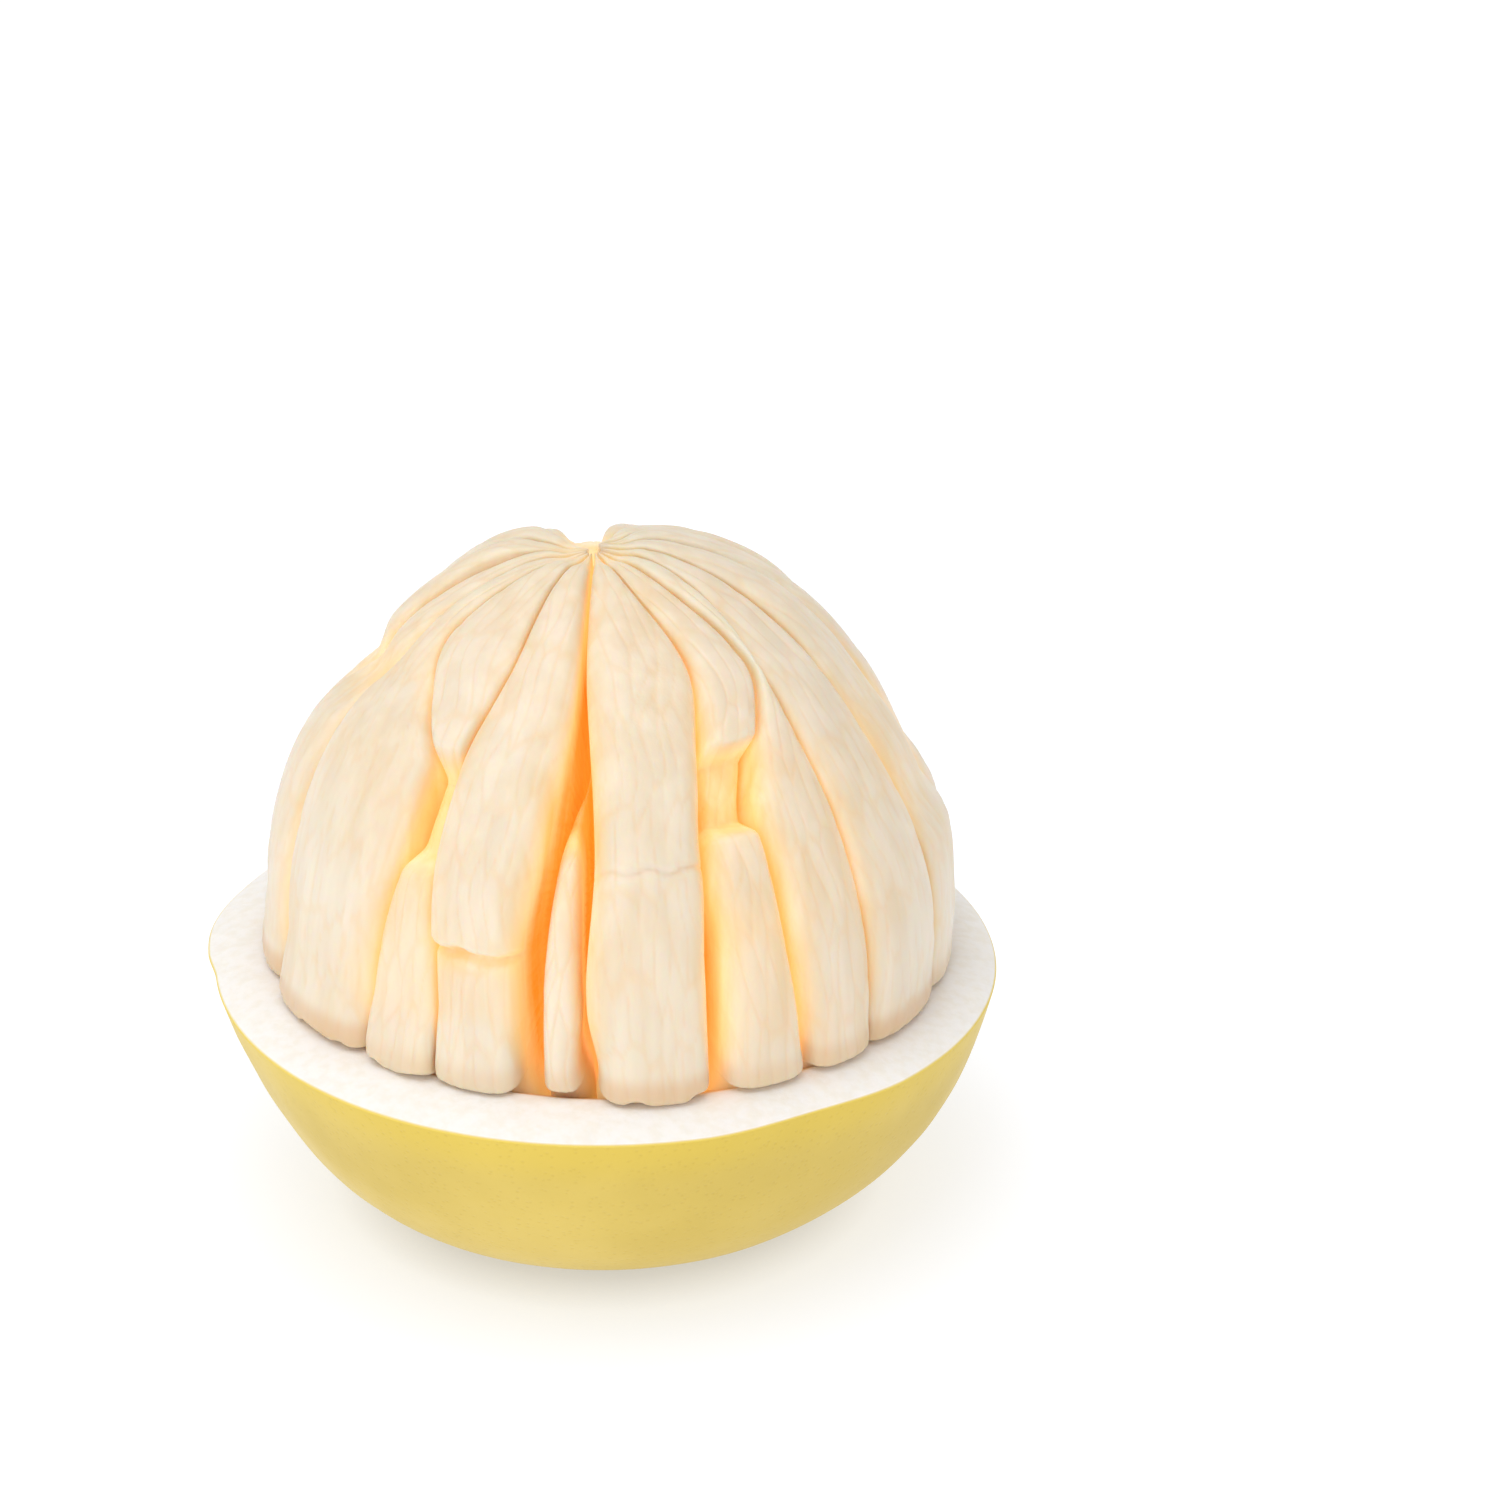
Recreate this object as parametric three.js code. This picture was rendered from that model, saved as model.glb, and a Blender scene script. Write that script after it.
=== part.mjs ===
// A pomelo peeled down to its lower half rind. The bare segments stand in the rind's cup as a dome,
// with their own gaps, broken ends and sunken stretches, and meet round a slim open core.
// Millimetres, +Z up. The origin is the centre of the flat spot that the rind rests on.
// Azimuth is 0 at the front (-Y) and grows towards +X. Polar angle is 0 at the top of the core.

import * as THREE from 'three';
import { mergeVertices } from 'three/addons/utils/BufferGeometryUtils.js';

// ---- Half rind ----
const RIM_RADIUS = 75; // outside of the cut edge
const RIM_HEIGHT = 47; // cut edge above the flat spot
const RIM_LEAN = -0.0217; // rise of the cut edge for each millimetre towards +X
const FLAT_SPOT_RADIUS = 16;
const SPOT_CORNER_RADIUS = 10; // corners of the three-cornered middle of the flat spot
const BOWL_POWER = 3.6; // 1 is a cone, more is a squarer bowl
const RING_WIDTH = 12.1; // cut pith, from the skin to the flesh
const RING_RISE = 2.8; // inner edge of the ring above its outer edge
const RING_CROWN = 0.7; // bulge of the ring between its two edges
const SKIN_ROUNDING = 0.8; // rounding of the skin's cut edge
const BELLY_SWELL = 1.9; // outward, halfway up the bowl on its fullest side
const BELLY_AZIMUTH = 75;
const RIM_BULGE = [
  // [azimuth, outward], where the cut edge bulges or is drawn in
  [-150, 0], [-112, 1.5], [-96, 2.5], [-87, 1.6], [-79, 0], [15, -0.3], [32, -1.8], [50, 0],
];
const CAVITY_CLEARANCE = 0.8; // between the cup and the flesh
const SKIN_LEAN_FADE = 2; // how quickly the lean of the cut edge dies out down the skin
const CUP_LEAN_FADE = 9; // the same down the cup, which follows the level flesh
const RIND_SIDES = 48;
const BOWL_ROWS = 9;
const CAVITY_ROWS = 8;
const RIM_WAVES = [
  // [waves round the rim, share of the radius, azimuth of the first crest]
  [1, 0.0065, 0],
  [2, 0.0052, 135],
  [3, 0.0057, -34],
];

// ---- Flesh ----
const FLESH_CENTRE = new THREE.Vector3(1, 0, 64);
const FLESH_RADIUS = 65.4;
const FLESH_RISE = 68.6; // centre to top
const FLESH_DEPTH = 49.5; // centre to bottom
const RISE_POWER = 1.8; // 2 is an ellipse, less is more pointed
const DEPTH_POWER = 2;
const CORE_LEAN = -0.03; // lean of the core towards +X, for each unit of height
const CORE_RADIUS = 3.5; // from the middle of the open core to the segments' inner edges
const TIP_MARGIN = 1.1; // least width of a segment where its inner edge starts
const SEGMENT_GAP = 0.5; // between neighbours, where nothing wider is stated
const EDGE_POWER = 3; // squareness of a segment's back, from edge to edge
const HALF_BACK_STEPS = 4;
const POLE_DIMPLE = [[4, -1.6], [8, -0.4], [12, 0]]; // [polar angle, rise] of every segment near the core
const FOOT_RISE = [
  // [polar angle, rise] of every segment's foot, which swells just above the ring of pith
  [88, 0], [92, 0.4], [96.5, 1.2], [101.4, 2.7], [102.4, -0.1], [104, -0.3], [112, 0],
];
const FOOT_SLANT = [[80, 0], [98, 3.1], [106, 3.1], [130, 0]]; // degrees that feet towards +X are lower

// Polar angles of the cross-sections, closer together where segments are broken.
const STATIONS = [
  4, 8, 14, 21, 28, 35, 41, 46, 48.5, 53, 58.5, 62, 67, 72, 76.5, 78, 79.5, 85, 92, 96.5,
  101.4, 102.4, 104, 112, 130, 150, 172,
];

// Seams between neighbouring segments. line is [polar angle, azimuth], gap and depth are
// [polar angle, millimetres]: how far apart the neighbours are, and how far their edges sink.
const SHALLOW = [[4, 1], [30, 2], [60, 2.6], [100, 3]];
const MEDIUM = [[4, 1], [30, 2.2], [55, 5], [100, 5]];
const DEEP = [[4, 1], [30, 3], [50, 8], [100, 8]];
const DEEP_FROM_TOP = [[4, 3.5], [14, 4.5], [30, 4.5], [50, 8], [100, 8]];
const SEAMS = {
  ab: { line: [[4, -78], [45, -74], [90, -70]], depth: MEDIUM },
  bc: { line: [[4, -58], [26, -62], [40, -47], [50, -38], [98, -42.5]], depth: MEDIUM },
  cd: { line: [[4, -30], [27, -27], [48, -31], [62, -31], [90, -28.3]], depth: SHALLOW },
  de: {
    line: [[4, -3], [22, -3.5], [40, -5.5], [60, -9.5], [85, -12], [105, -12]],
    gap: [[30, 0.5], [60, 1.6], [80, 3.6], [103, 3.4], [115, 0.5]],
    depth: DEEP_FROM_TOP,
  },
  ef: {
    line: [[4, -3], [22, -2.7], [40, -1.6], [60, -1.4], [85, -2.8], [105, -2]],
    gap: [[30, 0.5], [60, 2.4], [88, 1], [98, 3.2], [108, 0.5]],
    depth: DEEP_FROM_TOP,
  },
  fg: {
    line: [[4, 24], [29, 32.5], [46, 26], [62, 21.3], [85, 19.8], [105, 19.3]],
    gap: [[66, 0.5], [82, 2.4], [103, 2.4], [110, 0.5]],
    depth: DEEP,
  },
  gh: { line: [[4, 47], [33, 51], [48, 39.5], [60, 34.2], [80, 34.2], [103, 36]], depth: MEDIUM },
  hi: { line: [[4, 66], [40, 52], [65, 51], [100, 49.5]], depth: SHALLOW },
  ij: { line: [[4, 84], [50, 73], [100, 72]], depth: SHALLOW },
  jk: { line: [[4, 108], [60, 96], [100, 95]], depth: MEDIUM },
};

// The segments, from the left round the front and back again. back is [polar angle, rise] of the
// outline between a segment's edges.
const SEGMENTS = [
  // Its shoulder is dented, as are those of the two before it.
  {
    name: 'segment_a',
    seams: 'qa ab',
    back: [[28, 0], [35, -0.8], [41, -2.6], [46, -1.6], [53, 0.6], [60, 1], [90, 0]],
  },
  {
    name: 'segment_b',
    seams: 'ab bc',
    back: [[20, 0], [35, -0.8], [52, 1.6], [90, 0], [101.4, 1], [102.4, 0]],
  },
  // Its middle is sunken: an upper lobe ends in a point, and a lower piece comes out again.
  {
    name: 'segment_c',
    seams: 'bc cd',
    back: [[44, 0], [50, -6], [61, -6], [67, -1.6], [90, -1], [101.4, 0.8], [102.4, 0]],
  },
  // Cracked right across, with the lower part set back.
  {
    name: 'segment_d',
    seams: 'cd de',
    back: [[76.5, 0], [78, -3.6], [79.5, -1.8], [90, -1.2], [101.4, 0.2], [102.4, 0]],
  },
  // A narrow one, deep in the gap between its neighbours, that reaches neither end of the core.
  {
    name: 'segment_e',
    seams: 'de ef',
    back: [[35, -26], [53, -15], [62, -9], [76, -5], [101, -2.5]],
    start: 35,
    end: 150,
  },
  {
    name: 'segment_f',
    seams: 'ef fg',
    back: [[35, 0], [62, 0.4], [90, 0.4], [101.4, 0.9], [102.4, 0]],
  },
  // A piece of its back is missing, between two broken ends.
  { name: 'segment_g', seams: 'fg gh', back: [[46, 0], [48.5, -7], [58.5, -8], [62, -1.6], [72, -0.2]] },
  { name: 'segment_h', seams: 'gh hi', back: [[35, 0], [52, -0.8], [88, 0]] },
  { name: 'segment_i', seams: 'hi ij', back: [[35, 0.4], [60, -0.4], [88, 0.3], [102.4, 0]] },
  {
    name: 'segment_j',
    seams: 'ij jk',
    back: [[30, 0.9], [40, 0.6], [54, -1], [70, -1.2], [80, 1.4], [90, 0.8], [103, 0]],
  },
  {
    name: 'segment_k',
    seams: 'jk kl',
    back: [[14, 0.8], [28, 1.4], [40, 1.4], [51, 0.2], [70, -1.6], [80, 0.6], [103, 0]],
  },
  {
    name: 'segment_l',
    seams: 'kl lm',
    back: [[14, 0.8], [24, 1.6], [36, 2.4], [50, 0.6], [64, -0.6], [80, 0.5], [103, 0]],
  },
  { name: 'segment_m', seams: 'lm mn', back: [[4, -1], [12, 0], [20, 0.2], [45, 0.6], [80, -0.5], [103, 0]] },
  { name: 'segment_n', seams: 'mn no', back: [[4, -4], [20, -3], [45, -0.4], [80, 0.8], [103, 0]] },
  { name: 'segment_o', seams: 'no op', back: [[6, -2.4], [14, -1.8], [24, 0.8], [40, 0.8], [80, -0.6], [103, 0]] },
  {
    name: 'segment_p',
    seams: 'op pq',
    back: [[6, 0], [14, 1.9], [22, 2.2], [36, 0.4], [48, -2.4], [58, -1], [70, 0]],
  },
  {
    name: 'segment_q',
    seams: 'pq qa',
    back: [[6, 0], [16, 2.2], [30, 1.2], [38, 0.4], [46, -2.4], [54, -1.4], [66, 0.4], [103, 0]],
  },
];

// Seams round the back, spread evenly with a slight sway.
const BACK_SEAMS = ['kl', 'lm', 'mn', 'no', 'op', 'pq', 'qa'];
const BACK_START = 95; // azimuth of the seam before the first of them, away from the core
const BACK_END = 265;
const BACK_START_AT_CORE = 108; // the same at the core
const BACK_SEAM_SWAY = 2.5; // degrees
const BACK_DEPTH = [[4, 1], [30, 2.4], [60, 5.5], [100, 5]];
const CLEFT = 'mn'; // carries the front's deep gap on over the top
const CLEFT_DEPTH = [[4, 3.5], [14, 4.5], [40, 4.5], [100, 5]];

// ---- Colours ----
const RIND = { name: 'rind', color: 0xdfc455, roughness: 0.5, metalness: 0 };
const FLESH = { name: 'flesh', color: 0xf0dfc2, roughness: 0.35, metalness: 0 };

const radians = THREE.MathUtils.degToRad;
const degrees = THREE.MathUtils.radToDeg;

// Value at t of a smooth line through [position, value] points. It is level beyond its ends and
// never overshoots them.
function follow(points, t) {
  const last = points.length - 1;
  if (t <= points[0][0]) return points[0][1];
  if (t >= points[last][0]) return points[last][1];
  let k = 0;
  while (t > points[k + 1][0]) k += 1;
  const rate = (i) => (points[i + 1][1] - points[i][1]) / (points[i + 1][0] - points[i][0]);
  const slope = (i) => {
    if (i === 0 || i === last) return 0;
    const before = rate(i - 1);
    const after = rate(i);
    return before * after > 0 ? (2 * before * after) / (before + after) : 0;
  };
  const span = points[k + 1][0] - points[k][0];
  const u = (t - points[k][0]) / span;
  const rise = points[k + 1][1] - points[k][1];
  const ease = u * u * (3 - 2 * u);
  return points[k][1] + rise * ease + span * u * (1 - u) * ((1 - u) * slope(k) - u * slope(k + 1));
}

// Unit direction from the middle of the flesh, for angles measured about the leaning core.
function direction(polar, azimuth) {
  const p = radians(polar);
  const a = radians(azimuth);
  const lean = Math.atan(CORE_LEAN);
  const straight = new THREE.Vector3(Math.sin(p) * Math.sin(a), -Math.sin(p) * Math.cos(a), Math.cos(p));
  return straight.applyAxisAngle(new THREE.Vector3(0, 1, 0), lean);
}

// Distance from the middle of the flesh to its smooth outline, along a unit direction.
function outlineReach(dir) {
  const flat = Math.hypot(dir.x, dir.y) / FLESH_RADIUS;
  const upright = Math.abs(dir.z) / (dir.z >= 0 ? FLESH_RISE : FLESH_DEPTH);
  const power = dir.z >= 0 ? RISE_POWER : DEPTH_POWER;
  return (flat ** power + upright ** power) ** (-1 / power);
}

function pointAt(polar, azimuth, reach) {
  return direction(polar, azimuth).multiplyScalar(reach).add(FLESH_CENTRE);
}

// Share of the edge depth lost at u, which is 0 along the middle of a back and 1 at its edge.
function edgeFall(u) {
  return 1 - (1 - Math.abs(u) ** EDGE_POWER) ** (1 / EDGE_POWER);
}

// One cross-section of a segment: its inner tip, then its back from the left edge to the right one.
function crossSection(segment, polar) {
  const [left, right] = segment.seams.split(' ').map((name) => SEAMS[name]);
  const sine = Math.sin(radians(polar));
  const to = follow(right.line, polar);
  let from = follow(left.line, polar);
  if (from > to) from -= 360;
  const middle = (from + to) / 2;
  const rise = follow(segment.back, polar) + follow(POLE_DIMPLE, polar) + follow(FOOT_RISE, polar);
  const slanted = (azimuth) => polar + follow(FOOT_SLANT, polar) * Math.sin(radians(azimuth));
  const reachAt = (azimuth, fall) => outlineReach(direction(slanted(azimuth), azimuth)) + rise - fall;
  const inset = (seam, azimuth) => {
    const gap = seam.gap ? follow(seam.gap, polar) : SEGMENT_GAP;
    const fromCore = reachAt(azimuth, follow(seam.depth, polar)) * sine;
    return degrees(Math.asin(gap / 2 / fromCore));
  };
  const low = from + inset(left, from);
  const high = to - inset(right, to);

  const tipFromCore = Math.max(CORE_RADIUS, TIP_MARGIN / radians(to - from));
  const loop = [pointAt(slanted(middle), middle, tipFromCore / sine)];
  for (let k = -HALF_BACK_STEPS; k <= HALF_BACK_STEPS; k += 1) {
    const u = Math.sign(k) * (1 - (1 - Math.abs(k) / HALF_BACK_STEPS) ** 2);
    const azimuth = middle + u * (u < 0 ? middle - low : high - middle);
    const depth = follow((u < 0 ? left : right).depth, polar);
    loop.push(pointAt(slanted(azimuth), azimuth, reachAt(azimuth, depth * edgeFall(u))));
  }
  return loop;
}

// Closed skin over a stack of cross-sections, from the top one down. Both walls of a seam are
// split along the same diagonals, so that neighbours stay parallel.
function skinOver(loops) {
  const count = loops[0].length;
  const index = [];
  for (let i = 0; i < loops.length - 1; i += 1) {
    for (let j = 0; j < count; j += 1) {
      const next = (j + 1) % count;
      const a = i * count + j;
      const b = a + count;
      const d = i * count + next;
      const c = d + count;
      if (j < count / 2) index.push(a, b, c, a, c, d);
      else index.push(a, b, d, b, c, d);
    }
  }
  const lowest = (loops.length - 1) * count;
  for (let j = 1; j < count - 1; j += 1) {
    index.push(0, j, j + 1);
    index.push(lowest, lowest + j + 1, lowest + j);
  }
  const geometry = new THREE.BufferGeometry().setFromPoints(loops.flat());
  geometry.setIndex(index);
  return geometry;
}

function makeMesh(name, geometry, material) {
  geometry.computeVertexNormals();
  const mesh = new THREE.Mesh(geometry, new THREE.MeshStandardMaterial(material));
  mesh.name = name;
  return mesh;
}

function makeSegment(segment) {
  const { start = 0, end = 180 } = segment;
  const stations = STATIONS.filter((polar) => polar >= start && polar <= end);
  const loops = stations.map((polar) => crossSection(segment, polar));
  return makeMesh(segment.name, skinOver(loops), FLESH);
}

function addBackSeams() {
  BACK_SEAMS.forEach((name, index) => {
    const share = (index + 1) / BACK_SEAMS.length;
    const sway = share < 1 ? BACK_SEAM_SWAY * Math.sin(2.3 * (index + 1)) : 0;
    const azimuth = THREE.MathUtils.lerp(BACK_START, BACK_END, share) + sway;
    const atCore = THREE.MathUtils.lerp(BACK_START_AT_CORE, BACK_END, share);
    SEAMS[name] = { line: [[4, atCore], [60, azimuth]], depth: name === CLEFT ? CLEFT_DEPTH : BACK_DEPTH };
  });
}

// Outline of the rind's section, as [radius, height], from the flat spot's edge up the skin, over
// the cut ring and down the cup to its middle.
function rindOutline() {
  const outline = [];
  for (let k = 0; k <= BOWL_ROWS; k += 1) {
    const share = Math.sin((k / BOWL_ROWS) * Math.PI * 0.5) ** 0.8;
    const radius = THREE.MathUtils.lerp(FLAT_SPOT_RADIUS, RIM_RADIUS, share);
    outline.push([radius, RIM_HEIGHT * share ** BOWL_POWER]);
  }
  outline.push([RIM_RADIUS - SKIN_ROUNDING, RIM_HEIGHT + SKIN_ROUNDING]);
  const innerRadius = RIM_RADIUS - RING_WIDTH;
  const innerHeight = RIM_HEIGHT + RING_RISE;
  outline.push([RIM_RADIUS - RING_WIDTH * 0.45, RIM_HEIGHT + RING_RISE * 0.45 + RING_CROWN]);
  outline.push([innerRadius + 1, innerHeight + RING_CROWN * 0.2]);
  const brink = Math.asin((FLESH_CENTRE.z - innerHeight) / (FLESH_DEPTH + CAVITY_CLEARANCE));
  for (let k = 0; k <= CAVITY_ROWS; k += 1) {
    const turn = THREE.MathUtils.lerp(brink, Math.PI / 2, k / CAVITY_ROWS);
    const radius = (FLESH_RADIUS + CAVITY_CLEARANCE) * Math.cos(turn);
    outline.push([radius, FLESH_CENTRE.z - (FLESH_DEPTH + CAVITY_CLEARANCE) * Math.sin(turn)]);
  }
  return outline;
}

// The rind isn't quite round, its belly is fuller on one side, and its cut edge leans and bulges.
// All of this fades out towards the flat spot.
function rindPoint(radius, height, azimuth, inCup) {
  const upness = height / RIM_HEIGHT;
  let stretched = radius;
  if (!inCup) {
    for (const [waves, share, crest] of RIM_WAVES) {
      stretched += radius * share * upness * Math.cos(radians(waves * (azimuth - crest)));
    }
    const fullness = (1 + Math.cos(radians(azimuth - BELLY_AZIMUTH))) / 2;
    stretched += BELLY_SWELL * fullness * Math.sin(Math.PI * Math.min(upness, 1));
    stretched += follow(RIM_BULGE, azimuth > 180 ? azimuth - 360 : azimuth) * upness ** 2;
  }
  const x = stretched * Math.sin(radians(azimuth)) + (inCup ? FLESH_CENTRE.x * upness : 0);
  const y = -stretched * Math.cos(radians(azimuth));
  const leaning = inCup ? Math.min(upness, 1) ** CUP_LEAN_FADE : upness ** SKIN_LEAN_FADE;
  return new THREE.Vector3(x, y, height + RIM_LEAN * x * leaning);
}

// Rows of points round the rind, closed by the flat spot below and the middle of the cup inside.
function makeRind() {
  const outline = rindOutline();
  const cupStart = outline.length - CAVITY_ROWS - 2; // the ring's inner edge goes with the cup
  const points = [];
  outline.slice(0, -1).forEach(([radius, height], row) => {
    for (let k = 0; k < RIND_SIDES; k += 1) {
      points.push(rindPoint(radius, height, (360 * k) / RIND_SIDES, row >= cupStart));
    }
  });
  const index = [];
  const rows = outline.length - 1;
  for (let row = 0; row < rows - 1; row += 1) {
    for (let k = 0; k < RIND_SIDES; k += 1) {
      const a = row * RIND_SIDES + k;
      const b = row * RIND_SIDES + ((k + 1) % RIND_SIDES);
      index.push(a, b, b + RIND_SIDES, a, b + RIND_SIDES, a + RIND_SIDES);
    }
  }
  const [cupRadius, cupFloor] = outline[rows];
  const middle = points.push(rindPoint(cupRadius, cupFloor, 0, true)) - 1;
  const lastRow = (rows - 1) * RIND_SIDES;
  for (let k = 0; k < RIND_SIDES; k += 1) {
    index.push(lastRow + k, lastRow + ((k + 1) % RIND_SIDES), middle);
  }
  index.push(...flatSpot(points));
  const geometry = new THREE.BufferGeometry().setFromPoints(points);
  geometry.setIndex(index);
  return makeMesh('half_rind', mergeVertices(geometry), RIND);
}

// The flat spot: a triangle round the origin, and fans from its corners to the first row.
function flatSpot(points) {
  const third = RIND_SIDES / 3;
  const corners = [0, 1, 2].map((k) => {
    const azimuth = 60 + 120 * k;
    return points.push(rindPoint(SPOT_CORNER_RADIUS, 0, azimuth, false)) - 1;
  });
  const index = [corners[2], corners[1], corners[0]];
  for (let k = 0; k < 3; k += 1) {
    for (let step = 0; step < third; step += 1) {
      const at = k * third + step;
      index.push(corners[k], (at + 1) % RIND_SIDES, at);
    }
    index.push(corners[k], corners[(k + 1) % 3], ((k + 1) * third) % RIND_SIDES);
  }
  return index;
}

const group = new THREE.Group();
group.add(makeRind());
addBackSeams();
for (const segment of SEGMENTS) group.add(makeSegment(segment));

export default group;
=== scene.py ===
"""Looks of a pomelo peeled down to its lower half rind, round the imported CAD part.

Shapes are in millimetres and degrees, and meshes are scaled to metres as they are made. Materials
and lights are in metres. Azimuth is 0 at the front (-Y) and grows towards +X. Polar angle is 0 at
the top of the open core that the segments meet round.
"""

import math

import bpy
import numpy as np
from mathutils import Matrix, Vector


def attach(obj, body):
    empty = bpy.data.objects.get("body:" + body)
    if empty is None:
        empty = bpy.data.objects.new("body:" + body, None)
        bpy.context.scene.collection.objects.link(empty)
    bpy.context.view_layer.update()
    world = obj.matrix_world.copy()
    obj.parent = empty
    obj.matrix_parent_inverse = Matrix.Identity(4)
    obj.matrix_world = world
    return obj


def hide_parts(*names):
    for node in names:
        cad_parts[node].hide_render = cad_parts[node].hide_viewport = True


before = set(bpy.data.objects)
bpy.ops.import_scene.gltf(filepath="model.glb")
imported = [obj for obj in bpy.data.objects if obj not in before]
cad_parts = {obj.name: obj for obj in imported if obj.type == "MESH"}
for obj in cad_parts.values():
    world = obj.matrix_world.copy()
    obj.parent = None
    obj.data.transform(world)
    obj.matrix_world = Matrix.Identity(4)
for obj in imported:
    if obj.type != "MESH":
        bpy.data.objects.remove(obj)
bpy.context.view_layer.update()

METRES = 0.001
SEED = 7

# ---- Half rind, as in the CAD part ----
RIM_RADIUS = 75.0
RIM_HEIGHT = 47.0
RIM_LEAN = -0.0217  # rise of the cut edge for each millimetre towards +X
SKIN_LEAN_FADE = 2  # how quickly the lean dies out downwards
FLAT_SPOT_RADIUS = 16.0
BOWL_POWER = 3.6
RING_WIDTH = 12.1
RING_RISE = 2.8
RING_CROWN = 0.7
CAVITY_CLEARANCE = 0.8
BELLY_SWELL = 1.9
BELLY_AZIMUTH = 75.0
# [azimuth, outward], where the cut edge bulges or is drawn in
RIM_BULGE = [[-150, 0], [-112, 1.5], [-96, 2.5], [-87, 1.6], [-79, 0], [15, -0.3], [32, -1.8], [50, 0]]
RIM_WAVES = [(1, 0.0065, 0), (2, 0.0052, 135), (3, 0.0057, -34)]  # (waves, share of radius, first crest)

# ---- Half rind, finer than in the CAD part ----
SKIN_ROUNDING = 0.35
BRINK_CLEARANCE = 0.12  # the pith's inner edge closes up on the flesh
LEDGE_WIDTH = 6.0  # pith that reaches in between the segments' feet
LEDGE_DEPTH = 8.0
SKIN_SWELLS = [(0.35, 16, 22.0), (0.1, 60, 6.0)]  # (rise, lumps round the rim, height of a lump)
SKIN_CALM_BELOW = (1.0, 14.0)  # heights between which the swells begin
SKIN_CALM_ABOVE = (38.0, RIM_HEIGHT)  # heights between which they end
RING_CUTS = [(0.25, 22, 1), (0.1, 90, 5), (0.05, 260, 12)]  # (rise, lumps round the rim, lumps across it)
NOISE_CLOSES_FROM = 0.85  # share of a turn after which a noise fades into its own start
CUP_MIDDLE_SHIFT = 0.3  # share of the flesh's sideways shift that the middle of the cup keeps

# ---- Flesh, as in the CAD part ----
FLESH_CENTRE = np.array([1.0, 0.0, 64.0])
FLESH_RADIUS = 65.4
FLESH_RISE = 68.6
FLESH_DEPTH = 49.5
RISE_POWER = 1.8
DEPTH_POWER = 2.0
CORE_LEAN = -0.03  # towards +X, for each unit of height
CORE_RADIUS = 3.5  # from the middle of the open core to the segments' inner edges
TIP_MARGIN = 1.1  # least width of a segment where its inner edge starts
SEGMENT_GAP = 0.5  # between neighbours, where nothing wider is stated
EDGE_POWER = 3.0
# [polar angle, rise] of every segment near the core, and of every segment's foot
POLE_DIMPLE = [[4, -1.6], [8, -0.4], [12, 0]]
FOOT_RISE = [[88, 0], [92, 0.4], [96.5, 1.2], [101.4, 2.7], [102.4, -0.1], [104, -0.3], [112, 0]]
FOOT_SLANT = [[80, 0], [98, 3.1], [106, 3.1], [130, 0]]  # degrees that feet towards +X are lower
LOWEST_STATION = 172.0

# ---- Segments' tips, which all but meet at the top, unlike in the CAD part ----
FIRST_STATION = 1.2
TIPS_MEET = [[4, 0.1], [16, 0.12], [40, 1]]  # [polar angle, share of the open core's radius left open]
LEAST_WIDTH = 0.3  # share of a segment's angle that half a gap takes at most
RELIEF_BEGINS = 8.0  # degrees from the first cross-section over which the sacs come up

# ---- Mesh density ----
VISIBLE_STATIONS = 166  # cross-sections from the top of a segment to its foot
FOOT_FROM = 97.0  # polar angle of a foot's beginning
FOOT_STATIONS = 34
HIDDEN_FROM = 108.0  # polar angle below which the cup hides the flesh
HIDDEN_STATIONS = 7
SHOWN_UNTIL = (HIDDEN_FROM - 2, HIDDEN_FROM - 8)  # the sacs' relief ends between these
HALF_BACK_STEPS = 26
WALL_STEPS = 18
WALL_CROWDING = 1.7  # 1 is evenly spaced, more is closer together near the back
RIND_SIDES = 480
SKIN_ROWS = 110
SKIN_CROWDING = 0.8  # 1 is evenly spaced along a quarter turn, less is closer together near the rim
RING_ROWS = 22
RING_CROWDING = 1.6  # more is closer together near the skin
CAVITY_ROWS = 34
CAVITY_CROWDING = 1.5  # more is closer together near the brink
SPOT_ROWS = 4

# ---- Juice sacs ----
SAC_LENGTH = 15.0  # along a segment
SAC_WIDTH = 2.7
SAC_CREASE = 0.12  # depth of the crease between two sacs
CREASE_SHARE = 0.16  # half width of a crease, as a share of a sac
SAC_SWELL = 0.14
SAC_STEP = 0.1  # most that one sac stands above another
SAC_SWAY = (0.5, 11.0, 8.0)  # (sacs' widths, lump along, lump across) of their wandering on a back
SWAY_ALONG = 0.4  # share of it that they wander lengthwise
EDGE_CALM = 0.75  # share of the relief that is lost at a back's edge
EDGE_FROM = 0.9  # share of the half width where it starts to go
WALL_SAC_LENGTH = 14.0  # towards the core, on a segment's side
WALL_SAC_WIDTH = 2.6
WALL_CREASE = 0.35
WALL_STEP = 0.12
WALL_SWAY = (0.6, 9.0, 7.0)  # (sacs' widths, lump inward, lump along) of their wandering on a side
LUMP_SIZE = 17.0  # broad unevenness of a segment's back
LUMP_RISE = 0.5
LUMPS_UNTIL = (1.72, 1.5)  # they end between these distances from the top, in flesh radii
RAGGED = 1.3  # degrees that a broken end wanders up and down
RAGGED_SIZE = 3.5
RAGGED_LENGTH = 60.0
CRACKS = {"segment_f": (64.0, 0.6)}  # polar angle and depth of a hairline crack across the back
CRACK_WIDTH = 0.55  # degrees
CRACK_WANDER = 0.6  # of a broken end's wandering

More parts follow.
